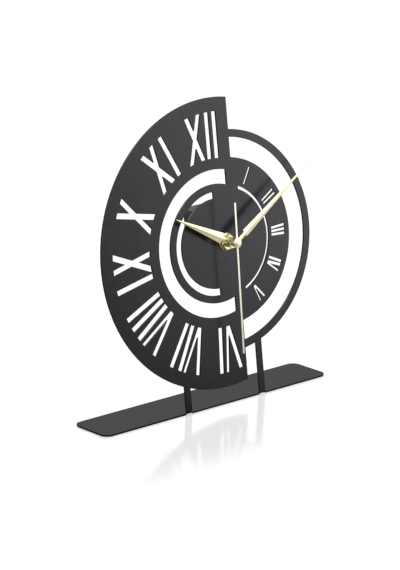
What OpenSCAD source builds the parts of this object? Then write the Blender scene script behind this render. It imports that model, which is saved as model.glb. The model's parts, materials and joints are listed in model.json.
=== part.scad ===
// Table clock: a bent sheet-metal dial on a flat base, with a quartz movement behind it.
// The clock stands on z = 0 and faces -Y, with +X to its right. Lengths are in millimetres.
// The origin is the centre of the base's underside.

/* [Dial plate] */
// Thickness of the sheet that dial, legs and base are bent from
sheet_t = 1.5; // [1.2:0.1:2.0]
// Radius of the large half disc
half_r = 115; // [110:1:125]
// Upright cut of the half disc, to the right of its centre
edge_x = 20.4; // [18:0.2:24]
// Hand shaft, and centre of the right-hand rings, to the right of the half disc's centre
shaft_x = 9; // [7:0.5:11]
// Radius of the inner disc on the right
disc_r = 66.4; // [65:0.2:72]
// Gap between the inner disc and the thin ring on the right
ring_gap = 15.8; // [12:0.1:18]
// Width of the thin ring
ring_w = 6.2; // [5:0.1:8]
// Outer radius of the wide C-shaped gap
gap_outer_r = 58.5; // [55:0.5:62]
// Width of the wide C-shaped gap
gap_w = 11.4; // [9:0.1:13]
// Sheet between the wide gap's ends and the half disc's upright cut
gap_end_w = 6; // [3:0.1:9]
// Sheet between the wide gap and the narrow slot inside it
slot_web_w = 6; // [4:0.1:8]
// Width of the narrow slot
slot_w = 5.4; // [4:0.1:7]
// Outer radius of the thin arc slot around the shaft
arc_outer_r = 45; // [44.4:0.2:46]
// Width of the thin arc slot
arc_w = 2.4; // [1.5:0.1:3.5]
// Sheet between the upright cut and the thin arc slot's ends
arc_end_w = 5.3; // [2:0.1:8]

/* [Numerals] */
// Sheet between the large numerals and the half disc's rim
numeral_rim_w = 11.1; // [8:0.1:16]
// Sheet between the large numerals and the wide gap
numeral_web_w = 8.6; // [6:0.1:12]
// Stroke of the large numerals
stroke_w = 4.4; // [3:0.1:5]
// Broad stroke of a large V
broad_w = 4.0; // [3:0.1:5]
// Fine stroke of a large V
fine_w = 3.1; // [2:0.1:4]
// Sheet between the small numerals and the inner disc's rim
small_rim_w = 4; // [3:0.1:6]
// Sheet between the small numerals and the thin arc slot
small_web_w = 2.8; // [2:0.1:4]
// Stroke of the small numerals
small_stroke_w = 2.1; // [1.5:0.1:2.4]
// Fine stroke of a small V
small_fine_w = 1.7; // [1.2:0.1:2.1]

/* [Legs and base] */
// Backward lean of the dial, in degrees
lean = 6; // [3:1:9]
// Space under the half disc, from the base's front lower edge and along the plate
dial_gap = 13.5; // [11:0.5:25]
// Half disc's centre, to the right of the base's centre
dial_offset = 10.4; // [5:0.2:14]
// Width of a leg
leg_w = 5.8; // [5:0.1:8]
// Left leg, to the left of the half disc's centre
left_leg_x = 41.7; // [35:0.1:50]
// Right leg, to the right of the half disc's centre
right_leg_x = 34.5; // [28:0.1:45]
// Inner radius of the bend between leg and base
bend_r = 0.5; // [0.4:0.1:2]
// Width of the relief slit beside each bend
relief_w = 0.3; // [0.2:0.1:1]
// Length of the base
base_l = 230; // [200:1:260]
// Depth of the base
base_d = 41; // [38:1:60]
// Corner radius of the base
base_corner_r = 7; // [3:0.5:12]

/* [Mounting parts] */
// Outer diameter of the threaded bushing
bushing_d = 7.8; // [7.6:0.1:8.2]
// Reach of the bushing in front of the plate
bushing_reach = 5.3; // [4.5:0.1:6]
// Diameter of the bushing's flange inside the case
flange_d = 12; // [10:0.5:13]
// Thickness of the bushing's flange
flange_t = 1; // [0.8:0.1:1.2]
// Diameter of the rubber gasket behind the plate
gasket_d = 22; // [18:1:28]
// Thickness of the rubber gasket
gasket_t = 0.8; // [0.5:0.1:1.2]
// Diameter of the brass washer in front of the plate
washer_d = 14; // [13:0.5:16]
// Thickness of the brass washer
washer_t = 0.5; // [0.4:0.1:0.8]
// Hexagon nut, across its flats
nut_af = 12; // [11:0.5:13]
// Turn of the hexagon nut, in degrees
nut_turn = 10; // [0:5:60]
// Thickness of the hexagon nut
nut_t = 3; // [2:0.5:3.5]

/* [Movement case] */
// How far the middle of the case lies to the right of the shaft
case_x = 2.4; // [0:0.1:3]
// Height of the case's top above the shaft
case_top_y = 30; // [28.5:0.5:31]
// Room for a contact at each end of the battery
contact_room = 1.55; // [1.55:0.05:3]
// Depth of the case, front to back
case_depth = 16; // [16:0.5:18]
// Depth of the case's front half
front_depth = 6; // [5:0.5:6.5]
// Corner radius of the case
case_corner_r = 3.5; // [2:0.5:4]
// Wall of the case
case_wall = 1.2; // [1:0.1:1.3]
// Reach of the bay's walls below and behind the battery's axis
bay_wall_r = 6; // [5.5:0.1:6.5]

/* [Battery] */
// Diameter of the battery
battery_d = 14.5; // [14:0.1:14.5]
// Length of the battery over its raised terminal
battery_l = 50.5; // [49.5:0.1:50.5]
// Diameter of the raised terminal
nub_d = 5.5; // [5:0.1:6]
// Height of the raised terminal
nub_l = 1.2; // [1:0.1:1.5]
// Thickness of the battery's sleeve
sleeve_t = 0.15; // [0.1:0.05:0.3]
// Gap between the battery and its bay
bay_gap = 0.4; // [0.3:0.05:0.45]
// Thickness of the contact strips
contact_t = 0.3; // [0.2:0.05:0.35]
// Width of the contact strips
contact_w = 3; // [2:0.5:4]

/* [Gears] */
// Tooth module between second arbor, third wheel and centre wheel
train_module = 0.31; // [0.3:0.005:0.315]
// Tooth module between intermediate pinion and second wheel
second_module = 0.36; // [0.355:0.005:0.365]
// Tooth module between rotor and intermediate wheel
rotor_module = 0.25; // [0.24:0.005:0.255]
// Tooth module between minute pinion and minute wheel
motion_module = 0.35; // [0.33:0.005:0.355]
// Thickness of the larger gear wheels
wheel_t = 1; // [0.8:0.1:1]
// Radius of the plastic gears' arbors
arbor_r = 0.5; // [0.4:0.05:0.55]
// Thickness of the bridge behind the gears
bridge_t = 1; // [0.8:0.1:1.2]
// Diameter of the setting knob
knob_d = 10; // [8:0.5:12]
// Thickness of the setting knob
knob_t = 3.5; // [2.5:0.5:5]

/* [Motor and circuit] */
// Radius of the rotor's magnet
magnet_r = 2.6; // [2.2:0.1:2.8]
// Thickness of the rotor's magnet
magnet_t = 3; // [2.5:0.1:3]
// Thickness of the stator plate and of the coil's core
stator_t = 1; // [0.8:0.1:1.1]
// Width of the stator plate at the rotor
stator_w = 7.4; // [7.2:0.1:7.6]
// Length of the stator plate and of the coil's core
stator_l = 31; // [29:0.5:32]
// Radius of the coil's winding
winding_r = 3; // [2.6:0.1:3.2]
// Width of the circuit board
board_w = 10; // [8:0.5:10.5]
// Height of the circuit board
board_h = 19; // [16:0.5:20]
// Thickness of the circuit board
board_t = 0.8; // [0.6:0.1:1]

/* [Hands] */
// Length of the hour hand from the shaft
hour_hand_l = 61.4; // [55:0.5:70]
// Width of the hour hand at its shoulder
hour_hand_w = 8.7; // [6:0.1:10]
// Length of the minute hand from the shaft
minute_hand_l = 97.5; // [85:0.5:100]
// Width of the minute hand at its shoulder
minute_hand_w = 6.5; // [5:0.1:8]
// Length of the second hand from the shaft
second_hand_l = 88; // [75:0.5:90]
// Length of the second hand's tail
second_tail_l = 32; // [20:0.5:40]
// Width of the second hand
second_hand_w = 1.7; // [1.2:0.1:2.4]
// Distance from the shaft to the hands' shoulders
shoulder_y = 11.5; // [9:0.5:14]
// Width of the hands' necks
neck_w = 3.3; // [2.5:0.1:4]
// Thickness of the hands' sheet
hand_t = 0.4; // [0.3:0.05:0.5]
// Height of the crease along the middle of a hand
crease_h = 0.6; // [0.3:0.1:0.8]
// Diameter of the second hand's cap
cap_d = 8; // [7:0.5:9]
// Height of the second hand's cap
cap_t = 0.8; // [0.6:0.1:1.2]
// Clearance of the hour hand in front of the bushing
hour_gap = 2.4; // [1.5:0.1:3]
// Clearance of the minute hand in front of the hour hand
minute_gap = 3.2; // [2:0.1:4]
// Clearance of the second hand in front of the minute hand
second_gap = 0.5; // [0.4:0.1:1]
// Hour hand's angle at rest, clockwise from twelve
hour_angle = 297; // [0:0.5:360]
// Minute hand's angle at rest, clockwise from twelve
minute_angle = 58; // [0:0.5:360]
// Second hand's angle at rest, clockwise from twelve
second_angle = 181.5; // [0:0.5:360]

/* [Hidden] */
$fn = 96;

// Clearances and small shared sizes
run_gap = 0.06;      // radial running clearance of every shaft
face_gap = 0.2;      // axial clearance between turning pieces
fit_gap = 0.2;       // clearance of holes round fixed pieces
touch_gap = 0.1;     // clearance of the battery's ends from their contacts
bend_draw = 0.03;    // how far a bend lies inside the faces and edges of its leg
wheel_gap = 0.7;     // clearance between the largest gear wheel and the wall under it
overrun = 1;         // how far a cut runs past what it cuts

// Radii and places of the dial's cuts, and the height of the half disc's centre
ring_inner_r = disc_r + ring_gap;
ring_outer_r = ring_inner_r + ring_w;
gap_inner_r = gap_outer_r - gap_w;
gap_end_x = edge_x - gap_end_w;
slot_outer_r = gap_inner_r - slot_web_w;
slot_inner_r = slot_outer_r - slot_w;
arc_inner_r = arc_outer_r - arc_w;
arc_end_x = edge_x + arc_end_w;
numeral_outer_r = half_r - numeral_rim_w;
numeral_inner_r = gap_outer_r + numeral_web_w;
small_outer_r = disc_r - small_rim_w;
small_inner_r = arc_outer_r + small_web_w;
dial_height = half_r + dial_gap;

// Radii of the nested shafts, from the inside out
second_arbor_r = 0.5;
pipe_wall = 1;
minute_pipe_in_r = second_arbor_r + run_gap;
minute_pipe_r = minute_pipe_in_r + pipe_wall;
hour_pipe_in_r = minute_pipe_r + run_gap;
hour_pipe_r = hour_pipe_in_r + 0.9 * pipe_wall;
bushing_in_r = hour_pipe_r + run_gap;

// Tooth counts: rotor to seconds 30:1, seconds to minutes 60:1, minutes to hours 12:1
rotor_teeth = 8;
intermediate_teeth = 48;
intermediate_pinion_teeth = 10;
second_teeth = 50;
second_pinion_teeth = 8;
third_teeth = 60;
third_pinion_teeth = 8;
centre_teeth = 64;
cannon_teeth = 12;
minute_teeth = 36;
minute_pinion_teeth = 10;
hour_teeth = 40;
setting_teeth = 12;

// Tooth forms as shares of the module (heights) and of the quarter pitch (half widths)
// Each is [addendum, dedendum, half width at the tip, half width at the root]
wheel_tooth_shares = [0.9, 1.1, 0.4, 1.1];
pinion_tooth_shares = [0.8, 1.3, 0.5, 0.85];

// Centre distances, and the modules that follow from sharing them
third_dist = train_module * (second_pinion_teeth + third_teeth) / 2;
centre_module = 2 * third_dist / (third_pinion_teeth + centre_teeth);
intermediate_dist = second_module * (intermediate_pinion_teeth + second_teeth) / 2;
rotor_dist = rotor_module * (rotor_teeth + intermediate_teeth) / 2;
minute_dist = motion_module * (cannon_teeth + minute_teeth) / 2;
hour_module = 2 * minute_dist / (minute_pinion_teeth + hour_teeth);
setting_dist = motion_module * (setting_teeth + minute_teeth) / 2;

// Directions between axes, seen from the front, counter-clockwise from +X
third_line_angle = 60;
intermediate_line_angle = 130;
rotor_line_angle = 215;
minute_line_angle = -12;
setting_line_angle = 10;
half_turn_angle = 180;

// Axes in the dial's own plane, from the shaft
function polar(r, a) = [r * cos(a), r * sin(a)];
third_at = polar(third_dist, third_line_angle);
intermediate_at = polar(intermediate_dist, intermediate_line_angle);
rotor_at = intermediate_at + polar(rotor_dist, rotor_line_angle);
minute_at = polar(minute_dist, minute_line_angle);
setting_at = minute_at + polar(setting_dist, setting_line_angle);

// Levels along the shaft: 0 is the front of the plate, and minus lies behind it
case_z = -sheet_t - gasket_t;
wall_z = case_z - case_wall;
split_z = case_z - front_depth;
back_z = case_z - case_depth;
back_wall_z = back_z + case_wall;
flange_z = wall_z - flange_t;
motion_wheel_t = 1.2 * wheel_t;
hour_wheel_z = flange_z - face_gap - motion_wheel_t;
cannon_t = 2.2 * wheel_t;
cannon_z = hour_wheel_z - face_gap - cannon_t;
boss_z = cannon_z + 2 * face_gap;
minute_wheel_z = boss_z + face_gap;
centre_wheel_z = cannon_z - wheel_t;
clutch_t = 0.3 * wheel_t;
clutch_z = centre_wheel_z - clutch_t;
arbor_tail_z = clutch_z - face_gap;
second_pinion_t = 1.6 * wheel_t;
second_pinion_z = arbor_tail_z - face_gap - second_pinion_t;
third_wheel_z = second_pinion_z + 0.3 * wheel_t;
second_wheel_z = second_pinion_z - 2 * face_gap - wheel_t;
intermediate_pinion_t = 1.8 * wheel_t;
intermediate_pinion_z = second_wheel_z + wheel_t + face_gap - intermediate_pinion_t;
intermediate_wheel_t = 0.8 * wheel_t;
intermediate_wheel_z = intermediate_pinion_z - intermediate_wheel_t;
rotor_pinion_t = intermediate_wheel_t + 2 * face_gap;
rotor_pinion_z = intermediate_wheel_z - face_gap;
bridge_z = intermediate_wheel_z - 4.5 * face_gap - bridge_t;
arbor_end_z = bridge_z + face_gap / 2;
stator_z = third_wheel_z + face_gap / 2;
magnet_z = stator_z - (magnet_t - stator_t) / 2;
core_z = stator_z - stator_t;
setting_boss_z = hour_wheel_z + wheel_t;
pivot_depth = 6 * face_gap;

// Levels in front of the plate
hand_depth = hand_t + crease_h;
hour_hand_z = bushing_reach + hour_gap;
hour_pipe_z = hour_hand_z + hand_depth + face_gap / 2;
minute_hand_z = hour_hand_z + hand_depth + minute_gap;
minute_pipe_z = minute_hand_z + hand_depth + face_gap / 2;
second_hand_z = minute_hand_z + hand_depth + second_gap;
cap_z = second_hand_z + hand_t;
tube_wall = 0.4 * pipe_wall;

// Proportions of small pieces
hub_wall_share = 1.8;      // boss of a hand, in pipe walls
coil_tube_share = 0.62;    // bobbin tube, in winding radii
winding_share = 0.96;      // wire, in winding radii
core_share = 0.27;         // coil core's width, in stator widths
arm_share = 0.38;          // stator arm's width, in stator widths

// Layout inside the case, which is as wide as the battery or the motor needs. The wall over
// the battery lies under the centre wheel, and the battery bay under that wall.
stator_x = rotor_at[0];
winding_x = stator_x - stator_w / 2 - winding_r - 3 * face_gap;
inner_half_w = max(battery_l / 2 + contact_room, case_x + winding_r - winding_x + 4 * face_gap);
inner_left_x = case_x - inner_half_w;
inner_right_x = case_x + inner_half_w;
inner_top_y = case_top_y - case_wall;
shelf_y = -centre_module * (centre_teeth / 2 + wheel_tooth_shares[0]) - wheel_gap;
bay_top_y = shelf_y - case_wall;
bay_h = battery_d + 2 * bay_gap;
bay_low_y = bay_top_y - bay_h;
inner_h = inner_top_y - bay_low_y;
battery_y = bay_low_y + bay_h / 2;
battery_z = wall_z - bay_gap - battery_d / 2;
contact_gap = 4 * contact_t;
stator_y = shelf_y + 4 * case_wall;
board_x = inner_right_x - contact_gap - board_w;
board_y = inner_top_y - contact_gap - board_h;
board_z = boss_z - 4 * board_t;
post_r = 1.3 * case_wall;
post_margin = 1.5 * post_r;
bridge_high_y = inner_top_y - 2.5 * post_margin;
bridge_low_y = shelf_y + post_r + 3 * face_gap;
bridge_posts = [
    [stator_x + stator_w / 2 + post_margin, bridge_high_y],
    [third_at[0] + 3 * post_margin, bridge_high_y],
    [setting_at[0] + 4 * post_margin, bridge_low_y],
    [stator_x + post_margin, bridge_low_y]];

// Angles of the strokes within a numeral, in degrees from its middle: [outer end, inner end]
x_stroke_angles = [[2.1, -4], [-4.6, 6.4]];
v_stroke_angles = [[4.5, 0.4], [-3.2, -0.3]];
small_v_stroke_angles = [[2.4, 0.5], [-2.5, -0.5]];

// Letters of the large numerals from XII back to VI: [letter, angle, slant]
large_letter_angles = [
    ["X", 99.4, 0], ["I", 90.3, 0], ["I", 85.1, 1.1],
    ["X", 128.1, 0], ["I", 117.8, 0],
    ["X", 155.9, 0],
    ["X", 180.3, 0], ["I", 191.4, 0],
    ["I", 204.6, 0], ["I", 209.8, 0], ["I", 215, 0], ["V", 221.9, 0],
    ["I", 237.7, 0], ["I", 242.8, 0], ["V", 248.8, 0],
    ["I", 267.1, 0], ["V", 273.8, 0]];

// Letters of the small numerals from I to V: [letter, angle]
small_letter_angles = [
    ["I", 60.9],
    ["I", 32.2], ["I", 28.7],
    ["I", 2.7], ["I", 359.5], ["I", 356.3],
    ["I", 335], ["V", 330],
    ["V", 303]];

// Frames

// The bend's outer radius, and the length from the sharp corner under a leg to the bend's end
bend_outer_r = bend_r + sheet_t;
bend_reach = bend_outer_r * (1 + sin(lean)) / cos(lean);

// The dial's own frame: origin on the shaft at the plate's front face, x right, y up the
// plate, z towards the viewer. The plate leans back about the centre line of the bends.
module on_dial() {
    translate([dial_offset, bend_reach - base_d / 2, bend_outer_r])
        rotate([90 - lean, 0, 0])
            translate([shaft_x, dial_height - bend_reach, bend_outer_r])
                children();
}

// A place on the dial's plane, at one level along the shaft
module at(xy, z = 0) {
    translate([xy[0], xy[1], z]) children();
}

// Flat shapes and small solids

module ring(outer_r, inner_r) {
    difference() {
        circle(outer_r);
        circle(inner_r);
    }
}

// Everything to the right of x, or to the left of it when side is -1
module right_of(x, reach, side = 1) {
    translate([side > 0 ? x : x - reach, -reach]) square([reach, 2 * reach]);
}

module tube(outer_r, inner_r, h) {
    difference() {
        cylinder(r = outer_r, h = h);
        translate([0, 0, -overrun]) cylinder(r = inner_r, h = h + 2 * overrun);
    }
}

// A rectangle with round corners, centred
module rounded(w, h, r) {
    square([w - 2 * r, h], center = true);
    square([w, h - 2 * r], center = true);
    for (sx = [-1, 1], sy = [-1, 1])
        translate([sx * (w / 2 - r), sy * (h / 2 - r)]) circle(r);
}

// A straight bar between two points, run past both ends
module bar(from, to, w) {
    d = to - from;
    translate(from) rotate(atan2(d[1], d[0]))
        translate([-overrun, -w / 2]) square([norm(d) + 2 * overrun, w]);
}

// Numerals

// One stroke between the outer and the inner circle of a band
module stroke(angle, ends, outer_r, inner_r, w) {
    bar(polar(inner_r, angle + ends[1]), polar(outer_r, angle + ends[0]), w);
}

module letter(name, angle, slant, outer_r, inner_r, plain_w, v_strokes, v_widths) {
    if (name == "I") stroke(angle, [slant, -slant], outer_r, inner_r, plain_w);
    if (name == "X") for (s = x_stroke_angles) stroke(angle, s, outer_r, inner_r, plain_w);
    if (name == "V") for (i = [0, 1])
        stroke(angle, v_strokes[i], outer_r, inner_r, v_widths[i]);
}

module large_numerals() {
    intersection() {
        ring(numeral_outer_r, numeral_inner_r);
        for (l = large_letter_angles)
            letter(l[0], l[1], l[2], numeral_outer_r, numeral_inner_r, stroke_w,
                v_stroke_angles, [broad_w, fine_w]);
    }
}

module small_numerals() {
    intersection() {
        ring(small_outer_r, small_inner_r);
        for (l = small_letter_angles)
            letter(l[0], l[1], 0, small_outer_r, small_inner_r, small_stroke_w,
                small_v_stroke_angles, [small_stroke_w, small_fine_w]);
    }
}

// Stand

// Flat outline of the dial in its own plane, with the half disc's centre at -shaft_x
module dial_outline() {
    ring_mid_r = (ring_outer_r + ring_inner_r) / 2;
    difference() {
        union() {
            translate([-shaft_x, 0]) intersection() {
                circle(half_r);
                right_of(edge_x, 2 * half_r, -1);
            }
            intersection() {
                ring(ring_outer_r, ring_inner_r);
                right_of(edge_x - shaft_x - overrun, 2 * half_r);
            }
            circle(disc_r);
            leg(-shaft_x - left_leg_x, half_r - leg_w, shaft_x);
            leg(right_leg_x - shaft_x, ring_mid_r, 0);
        }
        translate([-shaft_x, 0]) {
            intersection() {
                ring(gap_outer_r, gap_inner_r);
                right_of(gap_end_x, 2 * half_r, -1);
            }
            intersection() {
                ring(slot_outer_r, slot_inner_r);
                right_of(0, 2 * half_r, -1);
            }
            large_numerals();
        }
        intersection() {
            ring(arc_outer_r, arc_inner_r);
            right_of(arc_end_x - shaft_x, 2 * half_r);
        }
        small_numerals();
        circle(bushing_d / 2 + fit_gap);
    }
}

// A leg from its bend up to a circle of radius r whose centre is centre_x left of the shaft
module leg(x, r, centre_x) {
    rise = sqrt(pow(r, 2) - pow(x + centre_x, 2));
    translate([x - leg_w / 2, bend_reach - dial_height])
        square([leg_w, dial_height - bend_reach - rise]);
}

// The bend between base and leg, with a tongue into each. Bending draws the sheet in a little,
// so it lies just inside both faces and both edges of the leg.
module leg_bend(x) {
    outer_r = bend_outer_r - bend_draw;
    inner_r = bend_r + bend_draw;
    reach = 2 * outer_r;
    translate([x - leg_w / 2 + bend_draw, bend_reach - base_d / 2, bend_outer_r])
        rotate([90, 0, 90]) linear_extrude(leg_w - 2 * bend_draw) {
            intersection() {
                ring(outer_r, inner_r);
                rotate(-lean) translate([-reach, -2 * reach]) square(2 * reach);
                translate([-2 * reach, -reach]) square(2 * reach);
            }
            rotate(-lean) translate([-outer_r, 0]) square([outer_r - inner_r, leg_w]);
            translate([0, -outer_r]) square([leg_w, outer_r - inner_r]);
        }
}

module base_outline() {
    relief_l = bend_reach + relief_w;
    difference() {
        rounded(base_l, base_d, base_corner_r);
        for (x = leg_places) for (s = [-1, 1])
            translate([x + s * (leg_w + relief_w) / 2 - relief_w / 2, -base_d / 2 - overrun])
                square([relief_w, relief_l + overrun]);
        for (x = leg_places)
            translate([x - leg_w / 2, -base_d / 2 - overrun]) square([leg_w, bend_reach + overrun]);
    }
}

leg_places = [dial_offset - left_leg_x, dial_offset + right_leg_x];

module dial_stand() {
    color("#3a3a3d") {
        on_dial() translate([0, 0, -sheet_t]) linear_extrude(sheet_t) dial_outline();
        for (x = leg_places) leg_bend(x);
        linear_extrude(sheet_t) base_outline();
    }
}

// Mounting parts

module rubber_gasket() {
    color("#1c1c1c") on_dial() at([0, 0], case_z)
        tube(gasket_d / 2, bushing_d / 2 + fit_gap, gasket_t);
}

module brass_washer() {
    color("#c9a24a") on_dial() tube(washer_d / 2, bushing_d / 2 + fit_gap, washer_t);
}

// A hexagon whose corners are chamfered at the front by a flat cone
module hex_nut() {
    corner_r = nut_af / 2 / cos(30);
    face_r = 0.47 * nut_af;
    rim_r = 0.7 * nut_af;
    rim_z = nut_t - tan(30) * (rim_r - face_r);
    color("#c9a24a") on_dial() at([0, 0], washer_t) difference() {
        intersection() {
            rotate(nut_turn) cylinder(r = corner_r, h = nut_t + overrun, $fn = 6);
            rotate_extrude() polygon([[0, 0], [rim_r, 0], [rim_r, rim_z], [face_r, nut_t], [0, nut_t]]);
        }
        at([0, 0], -overrun) cylinder(r = bushing_d / 2 + run_gap / 2, h = nut_t + 2 * overrun);
    }
}

module threaded_bushing() {
    bushing_l = bushing_reach - flange_z;
    bevel = 0.3 * flange_t;
    color("#c9a24a") on_dial() at([0, 0], flange_z) rotate_extrude()
        polygon([[bushing_in_r, 0], [flange_d / 2, 0], [flange_d / 2, flange_t],
            [bushing_d / 2, flange_t], [bushing_d / 2, bushing_l - bevel],
            [bushing_d / 2 - bevel, bushing_l], [bushing_in_r, bushing_l]]);
}

// Case

// Outline of the case, set in from its inner faces, or set out when inset is below 0
module case_outline(inset) {
    translate([case_x, inner_top_y - inner_h / 2])
        rounded(2 * (inner_half_w - inset), inner_h - 2 * inset, case_corner_r - case_wall - inset);
}

module case_block(z0, z1) {
    at([0, 0], z0) linear_extrude(z1 - z0) case_outline(-case_wall);
}

module case_hollow(z0, z1) {
    at([0, 0], z0) linear_extrude(z1 - z0) case_outline(0);
}

// The wall between battery and gears, which leaves room for the contact strips at its ends
module shelf(z0, z1) {
    shelf_w = 2 * (inner_half_w - contact_gap);
    translate([case_x - shelf_w / 2, bay_top_y, z0]) cube([shelf_w, case_wall, z1 - z0]);
}

// A boss with a blind pivot hole in its end
module pivot_boss(xy, z, pin_r) {
    at(xy, z) difference() {
        cylinder(r = pin_r + run_gap + 0.5 * case_wall, h = wall_z - z);
        translate([0, 0, -overrun]) cylinder(r = pin_r + run_gap, h = pivot_depth + overrun);
    }
}

// Dial side of the case, with the posts and bosses that carry the works
module front_case() {
    color("#151515") on_dial() {
        difference() {
            case_block(split_z, case_z);
            case_hollow(split_z - overrun, wall_z);
            at([0, 0], wall_z - overrun) cylinder(r = bushing_d / 2, h = case_wall + 2 * overrun);
        }
        shelf(split_z, wall_z);
        pivot_boss(third_at, boss_z, arbor_r);
        pivot_boss(intermediate_at, boss_z, arbor_r);
        pivot_boss(rotor_at, boss_z, arbor_r);
        pivot_boss(setting_at, setting_boss_z, arbor_r);
        at(minute_at, boss_z) cylinder(r = minute_post_r, h = wall_z - boss_z);
        for (xy = bridge_posts) at(xy, bridge_z + bridge_t)
            cylinder(r = post_r, h = wall_z - bridge_z - bridge_t);
        for (y = stator_post_ys) at([stator_x, y], stator_z + stator_t)
            cylinder(r = post_r, h = wall_z - stator_z - stator_t);
        for (y = board_post_ys) at([board_x + board_w / 2, y], board_z + board_t)
            cylinder(r = post_r, h = wall_z - board_z - board_t);
    }
}

minute_post_r = 0.8 * pipe_wall;
stator_post_ys = [stator_y + 1.2 * post_r, stator_y + stator_l - 1.2 * post_r];
board_post_ys = [board_y + post_margin, board_y + board_h - post_margin];

// What lies below and behind the battery's axis, but for a round left at each end
module grip_cut() {
    translate([inner_left_x - case_wall - overrun, battery_y, battery_z]) rotate([0, 90, 0])
        linear_extrude(2 * (inner_half_w + case_wall + overrun)) difference() {
            translate([0, -bay_h]) square(bay_h);
            circle(bay_wall_r);
        }
}

// Back of the case: closed behind the gears, open behind and under the battery
module rear_case() {
    color("#151515") on_dial() difference() {
        union() {
            difference() {
                case_block(back_z, split_z);
                case_hollow(back_wall_z, split_z + overrun);
                translate([inner_left_x, bay_low_y, back_z - overrun])
                    cube([2 * inner_half_w, bay_h, case_wall + 2 * overrun]);
            }
            shelf(back_z, split_z);
        }
        at(setting_at, back_z - overrun)
            cylinder(r = setting_shaft_r + run_gap, h = case_wall + 2 * overrun);
        grip_cut();
    }
}

setting_shaft_r = 1.2 * pipe_wall;

module bridge_plate() {
    left = stator_x - post_margin;
    right = bridge_posts[2][0] + post_margin;
    low = bridge_posts[3][1] - post_r;
    high = bridge_posts[0][1] + post_margin;
    color("#d8d8d2") on_dial() at([0, 0], bridge_z) difference() {
        translate([left, low, 0]) cube([right - left, high - low, bridge_t]);
        for (xy = [[0, 0], third_at, intermediate_at, rotor_at]) at(xy, -overrun)
            cylinder(r = arbor_r + run_gap, h = bridge_t + 2 * overrun);
        at(setting_at, -overrun) cylinder(r = setting_shaft_r + run_gap, h = bridge_t + 2 * overrun);
    }
}

// Gears

// Outline of a gear with straight-sided teeth; a tooth is centred on the angle phase
function gear_points(teeth, m, shares, phase) =
    let (pitch_r = teeth * m / 2, root_r = pitch_r - shares[1] * m, tip_r = pitch_r + shares[0] * m)
    [for (i = [0 : teeth - 1], c = [[root_r, -shares[3]], [tip_r, -shares[2]],
            [tip_r, shares[2]], [root_r, shares[3]]])
        polar(c[0], phase + half_turn_angle / teeth * (2 * i + c[1] / 2 * pitch_r / c[0]))];

// Phase of a gear that meshes with another one, which lies the other way along the line
function mesh_phase(line_angle, phase, teeth, next_teeth) =
    line_angle + half_turn_angle * (1 - 1 / next_teeth)
        + (line_angle - phase) * teeth / next_teeth;

module wheel(teeth, m, t, phase = 0) {
    linear_extrude(t) polygon(gear_points(teeth, m, wheel_tooth_shares, phase));
}

module pinion(teeth, m, t, phase = 0) {
    linear_extrude(t) polygon(gear_points(teeth, m, pinion_tooth_shares, phase));
}

minute_wheel_phase = mesh_phase(minute_line_angle, 0, cannon_teeth, minute_teeth);

// Hour wheel on the pipe that carries the hour hand
module hour_wheel() {
    pipe_l = hour_pipe_z - hour_wheel_z;
    color("#e8e4d8") on_dial() at([0, 0], hour_wheel_z) difference() {
        union() {
            wheel(hour_teeth, hour_module, motion_wheel_t,
                mesh_phase(minute_line_angle + half_turn_angle, 0, minute_pinion_teeth, hour_teeth));
            cylinder(r = hour_pipe_r, h = pipe_l);
        }
        at([0, 0], -overrun) cylinder(r = hour_pipe_in_r, h = pipe_l + 2 * overrun);
    }
}

// Minute arbor: pinion for the motion work, tail for the centre wheel, pipe for the hand
module minute_arbor() {
    color("#c9a24a") on_dial() difference() {
        union() {
            at([0, 0], cannon_z) pinion(cannon_teeth, motion_module, cannon_t);
            at([0, 0], arbor_tail_z) cylinder(r = pipe_wall, h = cannon_z - arbor_tail_z);
            at([0, 0], cannon_z) cylinder(r = minute_pipe_r, h = minute_pipe_z - cannon_z);
        }
        at([0, 0], arbor_tail_z - overrun)
            cylinder(r = minute_pipe_in_r, h = minute_pipe_z - arbor_tail_z + 2 * overrun);
    }
}

// Three-armed spring that presses the centre wheel and lets it slip
module clutch_spring() {
    arm_l = 3.2 * pipe_wall;
    color("#b8b8b8") on_dial() at([0, 0], clutch_z) difference() {
        union() {
            cylinder(r = 1.7 * pipe_wall, h = clutch_t);
            for (a = [0, 120, 240]) rotate(a)
                translate([0, -pipe_wall / 2, 0]) cube([arm_l, pipe_wall, clutch_t]);
        }
        at([0, 0], -overrun) cylinder(r = pipe_wall, h = clutch_t + 2 * overrun);
    }
}

// Minute wheel and its pinion, which turns the hour wheel
module minute_wheel() {
    all_t = flange_z - face_gap / 2 - minute_wheel_z;
    color("#e8e4d8") on_dial() at(minute_at, minute_wheel_z) difference() {
        union() {
            wheel(minute_teeth, motion_module, motion_wheel_t, minute_wheel_phase);
            pinion(minute_pinion_teeth, hour_module, all_t);
        }
        at([0, 0], -overrun) cylinder(r = minute_post_r + run_gap, h = all_t + 2 * overrun);
    }
}

module centre_wheel() {
    color("#e8e4d8") on_dial() at([0, 0], centre_wheel_z) difference() {
        wheel(centre_teeth, centre_module, wheel_t,
            mesh_phase(third_line_angle + half_turn_angle, 0, third_pinion_teeth, centre_teeth));
        at([0, 0], -overrun) cylinder(r = pipe_wall + run_gap, h = wheel_t + 2 * overrun);
    }
}

// Arbor between the bridge and a boss of the front case
module plain_arbor() {
    at([0, 0], arbor_end_z) cylinder(r = arbor_r, h = boss_z + pivot_depth - face_gap - arbor_end_z);
}

module third_wheel() {
    color("#e8e4d8") on_dial() at(third_at) {
        at([0, 0], third_wheel_z) {
            wheel(third_teeth, train_module, wheel_t,
                mesh_phase(third_line_angle, 0, second_pinion_teeth, third_teeth));
            pinion(third_pinion_teeth, centre_module, boss_z - face_gap - third_wheel_z);
        }
        plain_arbor();
    }
}

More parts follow.
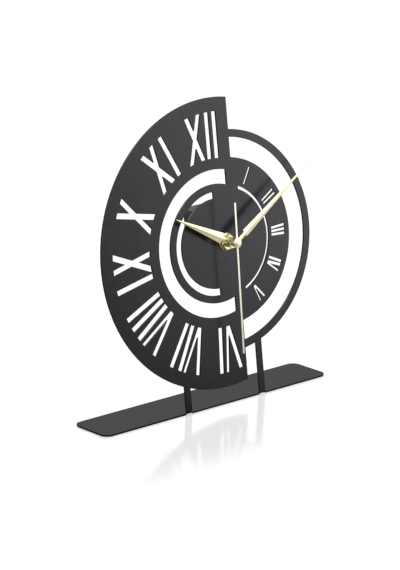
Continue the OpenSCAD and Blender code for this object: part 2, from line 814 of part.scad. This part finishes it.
module second_wheel() {
    all_t = second_pinion_z + second_pinion_t - second_wheel_z;
    color("#e8e4d8") on_dial() at([0, 0], second_wheel_z) difference() {
        union() {
            wheel(second_teeth, second_module, wheel_t);
            pinion(second_pinion_teeth, train_module, all_t);
        }
        at([0, 0], -overrun) cylinder(r = second_arbor_r, h = all_t + 2 * overrun);
    }
}

module second_arbor() {
    color("#c0c0c4") on_dial() at([0, 0], arbor_end_z)
        cylinder(r = second_arbor_r, h = cap_z - arbor_end_z);
}

module intermediate_wheel() {
    color("#e8e4d8") on_dial() at(intermediate_at) {
        at([0, 0], intermediate_wheel_z) wheel(intermediate_teeth, rotor_module, intermediate_wheel_t);
        at([0, 0], intermediate_pinion_z)
            pinion(intermediate_pinion_teeth, second_module, intermediate_pinion_t,
                mesh_phase(intermediate_line_angle, 0, second_teeth, intermediate_pinion_teeth));
        plain_arbor();
    }
}

module rotor_pinion() {
    color("#e8e4d8") on_dial() at(rotor_at) {
        at([0, 0], rotor_pinion_z) pinion(rotor_teeth, rotor_module, rotor_pinion_t,
            mesh_phase(rotor_line_angle, 0, intermediate_teeth, rotor_teeth));
        at([0, 0], rotor_pinion_z + rotor_pinion_t) cylinder(r = rotor_hub_r, h = rotor_hub_h);
        plain_arbor();
    }
}

rotor_hub_r = 0.9 * pipe_wall;
rotor_hub_h = magnet_z + magnet_t + face_gap - rotor_pinion_z - rotor_pinion_t;

module rotor_magnet() {
    color("#4a4a50") on_dial() at(rotor_at, magnet_z) tube(magnet_r, rotor_hub_r, magnet_t);
}

// Motor and circuit

module stator_plate() {
    arm_w = arm_share * stator_w;
    bore_r = magnet_r + 2.5 * face_gap;
    arm_left = winding_x - stator_w / 4;
    color("#9a9aa0") on_dial() at([0, 0], stator_z) linear_extrude(stator_t) difference() {
        union() {
            translate([stator_x - stator_w / 2, stator_y]) square([stator_w, stator_l]);
            for (y = [stator_y, stator_y + stator_l - arm_w])
                translate([arm_left, y]) square([stator_x - arm_left, arm_w]);
        }
        translate(rotor_at) circle(bore_r);
    }
}

module coil_core() {
    color("#9a9aa0") on_dial() translate([winding_x - core_w / 2, stator_y, core_z])
        cube([core_w, stator_l, stator_t]);
}

core_w = core_share * stator_w;
coil_tube_r = coil_tube_share * winding_r;
coil_y = stator_y + arm_share * stator_w + 2 * face_gap;
coil_l = stator_l - 2 * (coil_y - stator_y);
coil_flange_t = 0.8 * stator_t;
coil_at = [winding_x, coil_y + coil_l, core_z + stator_t / 2];

// Lays a solid drawn upwards from z = 0 along the coil, from its top flange down
module along_coil(start = 0) {
    translate(coil_at) rotate([90, 0, 0]) translate([0, 0, start]) children();
}

module coil_bobbin() {
    color("#e0d8b8") on_dial() along_coil() difference() {
        union() {
            for (z = [0, coil_l - coil_flange_t]) translate([-winding_r, -winding_r, z])
                cube([2 * winding_r, 2 * winding_r, coil_flange_t]);
            cylinder(r = coil_tube_r, h = coil_l);
        }
        translate([-core_w / 2, -stator_t / 2, -overrun])
            cube([core_w, stator_t, coil_l + 2 * overrun]);
    }
}

module coil_winding() {
    color("#b5652b") on_dial() along_coil(coil_flange_t)
        tube(winding_share * winding_r, coil_tube_r, coil_l - 2 * coil_flange_t);
}

module circuit_board() {
    color("#1f5a36") on_dial() translate([board_x, board_y, board_z]) cube([board_w, board_h, board_t]);
}

// Drop of black resin over the chip
module timing_chip() {
    chip_r = 0.32 * board_w;
    chip_h = 1.4 * board_t;
    dome_r = (pow(chip_r, 2) + pow(chip_h, 2)) / (2 * chip_h);
    color("#101010") on_dial() at([board_x + board_w / 2, board_y + 0.3 * board_h], board_z) intersection() {
        at([0, 0], dome_r - chip_h) sphere(dome_r);
        at([0, 0], -chip_h) cylinder(r = chip_r, h = chip_h);
    }
}

module quartz_crystal() {
    crystal_r = 0.1 * board_w;
    crystal_l = 0.36 * board_h;
    color("#c8c8cc") on_dial()
        translate([board_x + 0.3 * board_w, board_y + 0.95 * board_h, board_z - crystal_r])
            rotate([90, 0, 0]) cylinder(r = crystal_r, h = crystal_l);
}

// Battery and its contacts

battery_x0 = case_x - battery_l / 2;
can_r = battery_d / 2 - sleeve_t;

module battery_can() {
    color("#c8c8cc") on_dial() translate([battery_x0, battery_y, battery_z]) rotate([0, 90, 0]) {
        cylinder(r = can_r, h = battery_l - nub_l);
        cylinder(r = nub_d / 2, h = battery_l);
    }
}

module battery_sleeve() {
    color("#2e6fb0") on_dial() translate([battery_x0 + nub_l / 2, battery_y, battery_z]) rotate([0, 90, 0])
        tube(battery_d / 2, can_r, battery_l - 2 * nub_l);
}

// The stretch of a thin strip along the case's inside wall that lies between two corners
module wall_strip(low, high) {
    intersection() {
        difference() {
            case_outline(0);
            case_outline(contact_t);
        }
        translate(low) square(high - low);
    }
}

// Strip with a pad at the raised terminal, run up the right wall to the board
module plus_contact() {
    wall_x = inner_right_x - contact_t;
    pad_x = battery_x0 + battery_l + touch_gap;
    color("#c8c8cc") on_dial() at([0, 0], battery_z - contact_w / 2) linear_extrude(contact_w) {
        wall_strip([case_x, battery_y - nub_d / 2], [inner_right_x, board_y]);
        translate([pad_x, battery_y - nub_d / 2]) square([wall_x - pad_x, nub_d]);
        translate([wall_x - contact_gap, board_y - contact_t]) square([contact_gap, contact_t]);
    }
}

// Strip with a bowed spring at the battery's flat end, run up the left wall and along the top
module minus_contact() {
    bow_h = battery_x0 - touch_gap - inner_left_x;
    bow_l = 0.7 * battery_d;
    bow_r = (pow(bow_l / 2, 2) + pow(bow_h, 2)) / (2 * bow_h);
    tab_x = board_x + contact_w;
    color("#c8c8cc") on_dial() at([0, 0], battery_z - contact_w / 2) linear_extrude(contact_w) {
        translate([inner_left_x, battery_y]) intersection() {
            translate([bow_h - bow_r, 0]) ring(bow_r, bow_r - contact_t);
            translate([0, -bow_l / 2]) square([bow_h, bow_l]);
        }
        wall_strip([inner_left_x, battery_y + bow_l / 2 - contact_t], [tab_x, inner_top_y]);
        translate([tab_x - contact_t, board_y + board_h])
            square([contact_t, inner_top_y - board_y - board_h]);
    }
}

// Setting shaft and knob

module setting_shaft() {
    end_z = back_z - knob_t;
    color("#e8e4d8") on_dial() at(setting_at) {
        at([0, 0], end_z) {
            cylinder(r = setting_shaft_r, h = setting_boss_z - face_gap - end_z);
            cylinder(r = arbor_r, h = setting_boss_z + pivot_depth - face_gap - end_z);
        }
        at([0, 0], minute_wheel_z - face_gap / 2)
            pinion(setting_teeth, motion_module, motion_wheel_t + face_gap,
                mesh_phase(setting_line_angle, minute_wheel_phase, minute_teeth, setting_teeth));
    }
}

module setting_knob() {
    grooves = 24;
    groove_r = knob_d / 30;
    color("#202020") on_dial() at(setting_at, back_z - face_gap - knob_t) difference() {
        cylinder(r = knob_d / 2, h = knob_t);
        for (i = [0 : grooves - 1]) rotate(2 * half_turn_angle * i / grooves)
            translate([knob_d / 2, 0, -overrun]) cylinder(r = groove_r, h = knob_t + 2 * overrun);
        at([0, 0], -overrun) cylinder(r = setting_shaft_r, h = knob_t + 2 * overrun);
    }
}

// Hands

// Creased sheet hand that points up the plate: boss, neck and tapering blade
module creased_hand(length, w, bore_r) {
    boss_r = bore_r + hub_wall_share * pipe_wall;
    tip_w = hand_t;
    difference() {
        union() {
            intersection() {
                linear_extrude(hand_depth) polygon([[-neck_w / 2, 0], [-neck_w / 2, shoulder_y],
                    [-w / 2, shoulder_y], [-tip_w / 2, length], [tip_w / 2, length],
                    [w / 2, shoulder_y], [neck_w / 2, shoulder_y], [neck_w / 2, 0]]);
                rotate([90, 0, 180]) linear_extrude(length) polygon([[-w / 2, 0], [0, crease_h],
                    [w / 2, 0], [w / 2, hand_t], [0, hand_depth], [-w / 2, hand_t]]);
            }
            cylinder(r = boss_r, h = hand_depth);
        }
        at([0, 0], -overrun) cylinder(r = bore_r, h = hand_depth + 2 * overrun);
    }
}

module hour_hand() {
    color("#efe6b8") on_dial() at([0, 0], hour_hand_z) rotate(-hour_angle)
        creased_hand(hour_hand_l, hour_hand_w, hour_pipe_r);
}

module minute_hand() {
    color("#efe6b8") on_dial() at([0, 0], minute_hand_z) rotate(-minute_angle)
        creased_hand(minute_hand_l, minute_hand_w, minute_pipe_r);
}

module second_hand() {
    color("#efe6b8") on_dial() at([0, 0], second_hand_z) rotate(-second_angle) difference() {
        union() {
            translate([-second_hand_w / 2, -second_tail_l, 0])
                cube([second_hand_w, second_hand_l + second_tail_l, hand_t]);
            cylinder(r = 0.3 * cap_d, h = hand_t);
        }
        at([0, 0], -overrun) cylinder(r = second_arbor_r + tube_wall, h = hand_t + 2 * overrun);
    }
}

// Domed cap on a short tube that is pressed on the arbor
module second_hand_cap() {
    tube_z = minute_pipe_z + face_gap / 2;
    dome_h = 0.65 * cap_t;
    dome_r = (pow(cap_d / 2, 2) + pow(dome_h, 2)) / (2 * dome_h);
    color("#efe6b8") on_dial() {
        at([0, 0], tube_z) tube(second_arbor_r + tube_wall, second_arbor_r, cap_z - tube_z);
        at([0, 0], cap_z) rotate_extrude() intersection() {
            translate([0, cap_t - dome_r]) circle(dome_r, $fn = 720);
            square([cap_d / 2, cap_t]);
        }
    }
}

dial_stand();
rubber_gasket();
brass_washer();
hex_nut();
threaded_bushing();
front_case();
rear_case();
bridge_plate();
hour_wheel();
hour_hand();
minute_arbor();
minute_hand();
clutch_spring();
minute_wheel();
centre_wheel();
third_wheel();
second_wheel();
second_arbor();
second_hand();
second_hand_cap();
intermediate_wheel();
rotor_pinion();
rotor_magnet();
stator_plate();
coil_core();
coil_bobbin();
coil_winding();
circuit_board();
timing_chip();
quartz_crystal();
plus_contact();
minus_contact();
battery_can();
battery_sleeve();
setting_shaft();
setting_knob();
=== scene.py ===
"""Looks of the table clock: its materials, small surface detail, floor, light and camera.

Lengths are in metres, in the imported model's frame: the clock stands on z = 0 and faces -Y.
"""
import json
import math

import bmesh
import bpy
from mathutils import Matrix, Vector


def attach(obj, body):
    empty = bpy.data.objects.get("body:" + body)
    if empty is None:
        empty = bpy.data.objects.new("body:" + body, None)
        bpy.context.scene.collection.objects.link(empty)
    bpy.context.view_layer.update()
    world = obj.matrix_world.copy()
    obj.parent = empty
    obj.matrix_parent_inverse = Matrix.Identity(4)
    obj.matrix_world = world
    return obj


MM = 0.001

# The photograph's view: a long lens from the front left, a little above
AIM = Vector((-0.0025, -0.0008, 0.0954))
DISTANCE = 2.2052
AZIMUTH, ELEVATION, ROLL = (math.radians(a) for a in (-40.13, 16.08, 0.79))
FILM, LENS = 36.0, 177.67

# Surroundings: what the clock sees level with it and high above, and what the camera sees
WORLD_LIGHT, WORLD_ABOVE, WORLD_SEEN = 0.36, 0.9, 1.1
WORLD_TINT = (1, 0.98, 0.93, 1)
HIGH_START, HIGH_END = 0.35, 0.9

# Floor: its own colour, what it sends to the clock near and far from it, what the camera sees
FLOOR_WHITE = 0.1
FLOOR_DARK, FLOOR_LIGHT, FLOOR_FAR = 0.03, 0.5, 1.15
FLOOR_SEEN = 0.975
FLOOR_REACH = 6.0
FLOOR_LEVEL = -0.02 * MM

# The bright patch of floor that the dial mirrors: its direction, and where its light changes,
# onward from the clock and across that way
PATCH_AZIMUTH = math.radians(40)
NEAR_START, NEAR_END = -0.12, 0.32
FAR_START, FAR_END = 0.25, 1.3
SIDE_START, SIDE_END, SIDE_DIM = -0.17, 0.0, 0.02
BEYOND_START, BEYOND_END, BEYOND_DIM = -0.45, -0.9, 0.8

# The floor's mirror fades out towards the front, and all round the clock
FADE_START, FADE_END = -0.085, -0.15
MIRROR_R, MIRROR_END_R = 0.3, 0.6

# Soft boxes: azimuth and elevation in degrees, distance, width, height, radiance
LAMPS = {
    "key": (43, 18, 2.2, 2.0, 1.2, 1.55),
    "fill": (-27, 14, 2.2, 2.1, 1.2, 0.9),
    "rear": (205, 48, 2.0, 1.4, 1.0, 2.5),
}
LAMP_TINT = (0.98, 0.98, 1.04)

# Angles of the hands at rest, in degrees clockwise from twelve
HAND_ANGLES = {"hour_hand": 297.0, "minute_hand": 58.0, "second_hand": 181.5}

# Gold of the hands. The second hand's is paler and brighter: a painted highlight for the light
# that its flat strip does not catch
GOLD = ((0.97, 0.9, 0.6, 1), (0.93, 0.85, 0.54, 1))
PAINTED_HIGHLIGHT_GOLDS = {"second_hand": ((0.97, 0.94, 0.8, 1), (0.94, 0.9, 0.74, 1))}

# The battery's dark band starts this far to the right of the shaft
BAND_START, BAND_EDGE = 0.0109, 0.0111

# The bushing's thread
THREAD = {
    "radius": 3.9 * MM, "crest": 0.16 * MM, "pitch": 0.75 * MM, "low": 3.4 * MM,
    "high": 4.85 * MM}
THREAD_ROOT = -0.1 * MM
THREAD_STEPS = 72

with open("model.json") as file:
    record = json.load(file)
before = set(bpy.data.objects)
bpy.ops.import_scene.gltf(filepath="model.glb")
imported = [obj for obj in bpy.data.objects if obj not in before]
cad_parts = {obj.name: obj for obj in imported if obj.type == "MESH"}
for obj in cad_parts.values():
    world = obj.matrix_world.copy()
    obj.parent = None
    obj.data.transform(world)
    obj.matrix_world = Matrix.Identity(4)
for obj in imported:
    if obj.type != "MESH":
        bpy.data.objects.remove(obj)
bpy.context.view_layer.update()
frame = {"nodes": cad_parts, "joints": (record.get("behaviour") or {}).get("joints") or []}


def direction(azimuth, elevation):
    """Unit vector from the object to a place seen at these angles; azimuth 0 is the front."""
    flat = math.cos(elevation)
    return Vector((math.sin(azimuth) * flat, -math.cos(azimuth) * flat, math.sin(elevation)))


def dial_frame():
    """The dial's own frame: origin on the shaft at the plate's face, x right, y up, z forward."""
    joint = next(j for j in frame["joints"] if j["name"] == "minute_spin")
    z = -Vector(joint["axis"]).normalized()
    x = Vector((1, 0, 0))
    turn = Matrix((x, z.cross(x), z)).transposed().to_4x4()
    return Matrix.Translation(Vector(joint["pos_m"])) @ turn


DIAL = dial_frame()


# Materials

class Nodes:
    """A node tree whose nodes are made and wired by short calls."""

    def __init__(self, tree):
        self.tree = tree

    def set(self, socket, value):
        if isinstance(value, bpy.types.NodeSocket):
            self.tree.links.new(value, socket)
        else:
            socket.default_value = value

    def node(self, kind, inputs=(), **settings):
        made = self.tree.nodes.new("ShaderNode" + kind)
        for name, value in settings.items():
            setattr(made, name, value)
        for name, value in dict(inputs).items():
            self.set(made.inputs[name], value)
        return made

    def math(self, operation, first, second):
        return self.node("Math", {0: first, 1: second}, operation=operation).outputs[0]

    def ramp(self, value, start, end, low=0.0, high=1.0):
        """A smooth step from low to high as the value goes from start to end."""
        return self.node("MapRange", {
            "Value": value, "From Min": start, "From Max": end, "To Min": low,
            "To Max": high}, interpolation_type="SMOOTHSTEP").outputs["Result"]

    def for_camera(self, seen, otherwise):
        """One value where the camera looks, another for the light that falls on the clock."""
        return self.node("MapRange", {
            "Value": self.node("LightPath").outputs["Is Camera Ray"],
            "To Min": otherwise, "To Max": seen}).outputs["Result"]


class Look(Nodes):
    """One procedural material."""

    def __init__(self, name):
        self.material = bpy.data.materials.new(name)
        self.material.use_nodes = True
        super().__init__(self.material.node_tree)
        self.shader = self.tree.nodes["Principled BSDF"]

    def place(self, space=None, stretch=(1, 1, 1)):
        """A point's place in a frame, in metres, stretched along that frame's axes."""
        place = self.node("TexCoord").outputs["Object"]
        if space is not None:
            inverse = space.inverted()
            place = self.node("Mapping", {
                "Vector": place, "Location": inverse.to_translation(),
                "Rotation": inverse.to_euler()}).outputs["Vector"]
        return self.node("Mapping", {"Vector": place, "Scale": stretch}).outputs["Vector"]

    def along(self, place, azimuth):
        """How far a place lies from the middle in a level direction, in metres."""
        return self.node("VectorMath", {0: place, 1: direction(azimuth, 0.0)},
                         operation="DOT_PRODUCT").outputs["Value"]

    def noise(self, place, size, detail=2.0, rough=0.5):
        """Noise from 0 to 1 whose lumps are about size metres across."""
        return self.node("TexNoise", {
            "Vector": place, "Scale": 1 / size, "Detail": detail,
            "Roughness": rough}).outputs["Fac"]

    def spread(self, value, low, high):
        """Noise, which stays near 0.5, spread over the range from low to high."""
        return self.node("MapRange", {
            "Value": value, "From Min": 0.3, "From Max": 0.7,
            "To Min": low, "To Max": high}).outputs["Result"]

    def mix(self, share, first, second):
        mixed = self.node("Mix", data_type="RGBA")
        self.set(mixed.inputs[0], share)
        self.set(mixed.inputs[6], first)
        self.set(mixed.inputs[7], second)
        return mixed.outputs[2]

    def bump(self, height, depth, normal=None):
        inputs = {"Height": height, "Distance": depth, "Strength": 1.0}
        if normal is not None:
            inputs["Normal"] = normal
        return self.node("Bump", inputs).outputs["Normal"]

    def soft_edges(self, radius):
        return self.node("Bevel", {"Radius": radius}, samples=6).outputs["Normal"]

    def finish(self, **sockets):
        """Sets the shader's sockets: Base_Color for Base Color, and so on."""
        for name, value in sockets.items():
            self.set(self.shader.inputs[name.replace("_", " ")], value)
        return self.material


def grey(value, warm=0.0):
    """A grey, or a slightly warm one."""
    return (value * (1 + warm), value, value * (1 - warm), 1)


def powder_coat(name):
    """Satin black powder coat: faint clouds, fine orange peel, softened edges."""
    look = Look(name)
    place = look.place()
    clouds = look.spread(look.noise(place, 0.04, 4), 0, 1)
    peel = look.noise(place, 0.0011, 2)
    grain = look.noise(place, 0.00035, 1)
    normal = look.bump(peel, 0.00002, look.soft_edges(0.00015))
    return look.finish(
        Base_Color=look.mix(clouds, (0.004, 0.004, 0.0048, 1), (0.006, 0.006, 0.0072, 1)),
        Roughness=look.spread(look.noise(place, 0.006, 3), 0.225, 0.28),
        Specular_IOR_Level=0.62,
        Specular_Tint=(0.95, 0.93, 1.0, 1),
        Normal=look.bump(grain, 0.000006, normal))


def brushed_metal(name, colour, shade, roughness, space, stretch, size, depth):
    """Metal with fine lines: noise stretched along one axis of a frame."""
    look = Look(name)
    lines = look.noise(look.place(space, stretch), size, 3, 0.6)
    clouds = look.noise(look.place(), 0.009, 2)
    return look.finish(
        Base_Color=look.mix(look.spread(clouds, 0, 1), colour, shade),
        Metallic=1.0,
        Roughness=look.spread(lines, roughness[0], roughness[1]),
        Normal=look.bump(lines, depth, look.soft_edges(0.00008)))


def hand_gold(name, angle, colour, shade):
    """Pale gold sheet with faint lines along the hand."""
    along = DIAL @ Matrix.Rotation(-math.radians(angle), 4, "Z")
    return brushed_metal(
        name, colour, shade, (0.22, 0.3), along, (1, 0.03, 1), 0.0002, 0.0000012)


def turned_metal(name, colour, shade, roughness, size, depth, metallic=1.0):
    """Metal turned on a lathe about the shaft: fine rings of uneven depth."""
    look = Look(name)
    place = look.place(DIAL)
    rings = look.node("TexWave", {
        "Vector": place, "Scale": 1 / size, "Distortion": 1.5, "Detail": 2.0,
        "Detail Scale": 3.0}, wave_type="RINGS", rings_direction="Z").outputs["Fac"]
    clouds = look.noise(place, 0.004, 3)
    return look.finish(
        Base_Color=look.mix(look.spread(clouds, 0, 1), colour, shade),
        Metallic=metallic,
        Roughness=look.spread(look.noise(place, 0.0015, 2), roughness[0], roughness[1]),
        Normal=look.bump(rings, depth, look.soft_edges(0.00015)))


def moulded(name, colour, shade, roughness, depth, size=0.0006, specular=0.5, edge=0.0002):
    """Moulded plastic: slight clouds of colour, fine texture, softened edges."""
    look = Look(name)
    place = look.place()
    texture = look.noise(place, size, 2)
    clouds = look.noise(place, 0.012, 2)
    return look.finish(
        Base_Color=look.mix(look.spread(clouds, 0, 1), colour, shade),
        Roughness=look.spread(look.noise(place, 0.004, 3), roughness[0], roughness[1]),
        Specular_IOR_Level=specular,
        Normal=look.bump(texture, depth, look.soft_edges(edge)))


def coil_wire(name):
    """Fine enamelled copper wire, wound round an axis that stands upright in the dial. Its turns
    are painted darker in their grooves and lighter on their crests: painted shade and painted
    highlight.
    """
    look = Look(name)
    place = look.place(DIAL)
    turns_and_painted_shade = look.node("TexWave", {
        "Vector": place, "Scale": 1 / 0.0012, "Distortion": 0.6, "Detail": 1.0},
        wave_type="BANDS", bands_direction="Y").outputs["Fac"]
    return look.finish(
        # Dark copper in the grooves between turns is painted shade; bright copper on their crests
        # is painted highlight
        Base_Color=look.mix(turns_and_painted_shade, (0.22, 0.07, 0.02, 1), (0.62, 0.26, 0.09, 1)),
        Metallic=0.85,
        Roughness=look.spread(look.noise(place, 0.002, 2), 0.25, 0.4),
        Coat_Weight=0.5,
        Coat_Roughness=0.15,
        Normal=look.bump(turns_and_painted_shade, 0.00003))


def solder_mask(name):
    """Green circuit board whose copper tracks show through as paler lines."""
    look = Look(name)
    place = look.place(DIAL)
    tracks = look.node("TexBrick", {
        "Vector": place, "Scale": 1 / 0.006, "Mortar Size": 0.08, "Mortar Smooth": 0.1,
        "Brick Width": 0.35, "Row Height": 0.22}).outputs["Fac"]
    return look.finish(
        Base_Color=look.mix(tracks, (0.012, 0.09, 0.035, 1), (0.05, 0.2, 0.07, 1)),
        Roughness=look.spread(look.noise(place, 0.003, 2), 0.25, 0.4),
        Normal=look.bump(tracks, 0.00003))


def battery_film(name):
    """Plain shrunk film: silver grey with a dark band towards the raised terminal."""
    look = Look(name)
    place = look.place(DIAL)
    across = look.node("SeparateXYZ", {"Vector": place}).outputs["X"]
    band = look.node("MapRange", {
        "Value": across, "From Min": BAND_START, "From Max": BAND_EDGE}).outputs["Result"]
    wrinkles = look.noise(look.place(DIAL, (0.3, 1, 1)), 0.003, 3)
    return look.finish(
        Base_Color=look.mix(band, (0.34, 0.36, 0.38, 1), (0.045, 0.05, 0.06, 1)),
        Metallic=0.3,
        Roughness=look.spread(wrinkles, 0.2, 0.32),
        Coat_Weight=0.6,
        Coat_Roughness=0.08,
        Normal=look.bump(wrinkles, 0.00004))


def dress_nodes():
    """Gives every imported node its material."""
    looks = {
        "black_coat": powder_coat("black_coat"),
        "rubber": moulded("rubber", grey(0.018), grey(0.026), (0.65, 0.8), 0.00003, specular=0.3),
        "brass": turned_metal(
            "brass", (0.93, 0.87, 0.5, 1), (0.88, 0.8, 0.42, 1), (0.16, 0.28), 0.0006, 0.000002),
        "case_plastic": moulded(
            "case_plastic", grey(0.085), grey(0.1), (0.28, 0.38), 0.000006, edge=0.0004),
        "bridge_plastic": moulded(
            "bridge_plastic", grey(0.6, 0.03), grey(0.66, 0.02), (0.4, 0.5), 0.00001),
        "gear_plastic": moulded(
            "gear_plastic", grey(0.68, 0.04), grey(0.76, 0.03), (0.28, 0.4), 0.000006,
            edge=0.00005),
        "spring_steel": brushed_metal(
            "spring_steel", grey(0.55), grey(0.48), (0.2, 0.3), DIAL, (0.05, 1, 1), 0.0003,
            0.000002),
        "steel": turned_metal("steel", grey(0.55), grey(0.48), (0.18, 0.3), 0.0004, 0.000002),
        "magnet": moulded("magnet", grey(0.045), grey(0.075), (0.4, 0.55), 0.00002, specular=0.8),
        "stator_steel": brushed_metal(
            "stator_steel", grey(0.42), grey(0.33, 0.03), (0.3, 0.45), DIAL, (1, 0.05, 1), 0.0003,
            0.000004),
        "bobbin_plastic": moulded(
            "bobbin_plastic", (0.62, 0.55, 0.34, 1), (0.68, 0.6, 0.4, 1), (0.35, 0.5), 0.00001),
        "copper_wire": coil_wire("copper_wire"),
        "board": solder_mask("board"),
        "resin": moulded("resin", grey(0.008), grey(0.012), (0.15, 0.3), 0.00003, size=0.002),
        "crystal_can": brushed_metal(
            "crystal_can", grey(0.6), grey(0.52), (0.2, 0.3), DIAL, (1, 0.05, 1), 0.0003,
            0.000002),
        "contact_metal": brushed_metal(
            "contact_metal", grey(0.62, 0.03), grey(0.52, 0.04), (0.2, 0.32), DIAL, (1, 0.05, 1),
            0.0003, 0.000003),
        "battery_metal": turned_metal(
            "battery_metal", grey(0.6), grey(0.52), (0.22, 0.34), 0.0008, 0.000003),
        "battery_film": battery_film("battery_film"),
        "knob_plastic": moulded(
            "knob_plastic", grey(0.03), grey(0.04), (0.3, 0.42), 0.00001, edge=0.00015),
    }
    for name, node in frame["nodes"].items():
        for slot in node.material_slots:
            kind = slot.material.name.split(".")[0]
            slot.link = "OBJECT"
            if kind == "gold_hand":
                # The second hand's paler gold is a painted highlight
                slot.material = hand_gold(
                    name + "_gold", HAND_ANGLES.get(name, 0.0), *PAINTED_HIGHLIGHT_GOLDS.get(name, GOLD))
            else:
                slot.material = looks[kind]
    return looks


# Pieces that only this scene has

def helical_thread(name, radius, crest, pitch, low, high):
    """A screw thread's ridge round the shaft, from one level to another, faded in and out."""
    steps = int((high - low) / pitch * THREAD_STEPS)
    mesh = bpy.data.meshes.new(name)
    work = bmesh.new()
    rows = []
    for i in range(steps + 1):
        angle = 2 * math.pi * i / THREAD_STEPS
        level = low + pitch * i / THREAD_STEPS
        rise = crest * min(1.0, 4 * i / THREAD_STEPS, 4 * (steps - i) / THREAD_STEPS)
        section = ((THREAD_ROOT, -0.42), (rise, -0.08), (rise, 0.08), (THREAD_ROOT, 0.42))
        rows.append([
            work.verts.new(DIAL @ Vector((
                (radius + out) * math.cos(angle), (radius + out) * math.sin(angle),
                level + along * pitch)))
            for out, along in section])
    for first, second in zip(rows, rows[1:]):
        for a, b in ((0, 1), (1, 2), (2, 3), (3, 0)):
            work.faces.new((first[a], second[a], second[b], first[b]))
    work.faces.new(rows[0])
    work.faces.new(reversed(rows[-1]))
    bmesh.ops.recalc_face_normals(work, faces=work.faces)
    work.to_mesh(mesh)
    work.free()
    piece = bpy.data.objects.new(name, mesh)
    bpy.context.scene.collection.objects.link(piece)
    return piece


def add_thread(material):
    """The bushing's thread, which shows between the nut and the hour hand."""
    piece = helical_thread("bushing_thread", **THREAD)
    piece.data.materials.append(material)
    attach(piece, "stand")


# Floor, light and camera

def floor_light(look, place):
    """What the floor sends to the clock: brightest in the patch that the dial mirrors.

    The patch ends a little to the left, and that darkens the left of the dial.
    """
    onward = look.along(place, PATCH_AZIMUTH)
    across = look.along(place, PATCH_AZIMUTH + math.pi / 2)
    near = look.ramp(onward, NEAR_START, NEAR_END, FLOOR_DARK, FLOOR_LIGHT)
    far = look.ramp(onward, FAR_START, FAR_END, 0.0, FLOOR_FAR)
    in_patch = look.ramp(across, SIDE_START, SIDE_END, SIDE_DIM)
    beyond = look.ramp(across, BEYOND_START, BEYOND_END, 0.0, BEYOND_DIM)
    return look.math(
        "MULTIPLY", look.math("ADD", near, far), look.math("MAXIMUM", in_patch, beyond))


def floor_gloss(look, place):
    """How much the floor mirrors, where the camera looks."""
    forward = look.node("SeparateXYZ", {"Vector": place}).outputs["Y"]
    away = look.node("VectorMath", {0: place}, operation="LENGTH").outputs["Value"]
    gloss = look.math("MULTIPLY", look.ramp(forward, FADE_END, FADE_START),
                      look.ramp(away, MIRROR_END_R, MIRROR_R))
    return look.for_camera(gloss, 0.0)


def add_floor():
    """White table. Its gloss mirrors the foot of the clock, less and less towards the front."""
    look = Look("floor")
    place = look.place()
    gloss = floor_gloss(look, place)
    glow = look.for_camera(FLOOR_SEEN, floor_light(look, place))
    look.finish(
        Base_Color=grey(FLOOR_WHITE),
        Roughness=0.9,
        Specular_IOR_Level=0.0,
        Emission_Color=grey(1.0),
        Emission_Strength=look.math(
            "SUBTRACT", glow, look.math("MULTIPLY", gloss, WORLD_LIGHT)))
    mirror = look.node("BsdfGlossy", {
        "Color": gloss,
        "Roughness": look.spread(look.noise(place, 0.08, 2), 0.13, 0.16),
        "Normal": look.bump(look.noise(place, 0.02, 2), 0.00002)}).outputs["BSDF"]
    both = look.node("AddShader", {0: look.shader.outputs["BSDF"], 1: mirror})
    look.set(look.tree.nodes["Material Output"].inputs["Surface"], both.outputs[0])
    mesh = bpy.data.meshes.new("floor")
    corners = [
        (x * FLOOR_REACH, y * FLOOR_REACH, FLOOR_LEVEL)
        for x, y in ((-1, -1), (1, -1), (1, 1), (-1, 1))]
    mesh.from_pydata(corners, [], [(0, 1, 2, 3)])
    mesh.materials.append(look.material)
    floor = bpy.data.objects.new("floor", mesh)
    bpy.context.scene.collection.objects.link(floor)


def add_world():
    """Soft light from all round and more from above; the camera sees plain white."""
    world = bpy.data.worlds.new("world")
    world.use_nodes = True
    bpy.context.scene.world = world
    sky = Nodes(world.node_tree)
    towards = sky.node("TexCoord").outputs["Generated"]
    height = sky.node("SeparateXYZ", {"Vector": towards}).outputs["Z"]
    light = sky.ramp(height, HIGH_START, HIGH_END, WORLD_LIGHT, WORLD_ABOVE)
    background = sky.tree.nodes["Background"]
    sky.set(background.inputs["Color"], WORLD_TINT)
    sky.set(background.inputs["Strength"], sky.for_camera(WORLD_SEEN, light))


def add_lamp(name, azimuth, elevation, distance, width, height, radiance):
    """A rectangular soft box that faces the clock."""
    data = bpy.data.lights.new(name, "AREA")
    data.shape = "RECTANGLE"
    data.size, data.size_y = width, height
    data.energy = radiance * math.pi * width * height
    data.color = LAMP_TINT
    lamp = bpy.data.objects.new(name, data)
    towards = direction(math.radians(azimuth), math.radians(elevation))
    lamp.location = AIM + distance * towards
    lamp.rotation_euler = towards.to_track_quat("Z", "Y").to_euler()
    bpy.context.scene.collection.objects.link(lamp)


def add_camera():
    """The photograph's camera, which is rolled a little to the right."""
    data = bpy.data.cameras.new("camera")
    data.lens = LENS
    data.sensor_width = FILM
    back = direction(AZIMUTH, ELEVATION)
    level = Vector((math.cos(AZIMUTH), math.sin(AZIMUTH), 0))
    right = math.cos(ROLL) * level - math.sin(ROLL) * back.cross(level)
    turn = Matrix((right, back.cross(right), back)).transposed().to_4x4()
    camera = bpy.data.objects.new("camera", data)
    camera.matrix_world = Matrix.Translation(AIM + DISTANCE * back) @ turn
    bpy.context.scene.collection.objects.link(camera)
    bpy.context.scene.camera = camera


looks = dress_nodes()
add_thread(looks["brass"])
add_floor()
add_world()
for lamp_name, lamp_values in LAMPS.items():
    add_lamp(lamp_name, *lamp_values)
add_camera()
bpy.context.scene.view_settings.view_transform = "Standard"
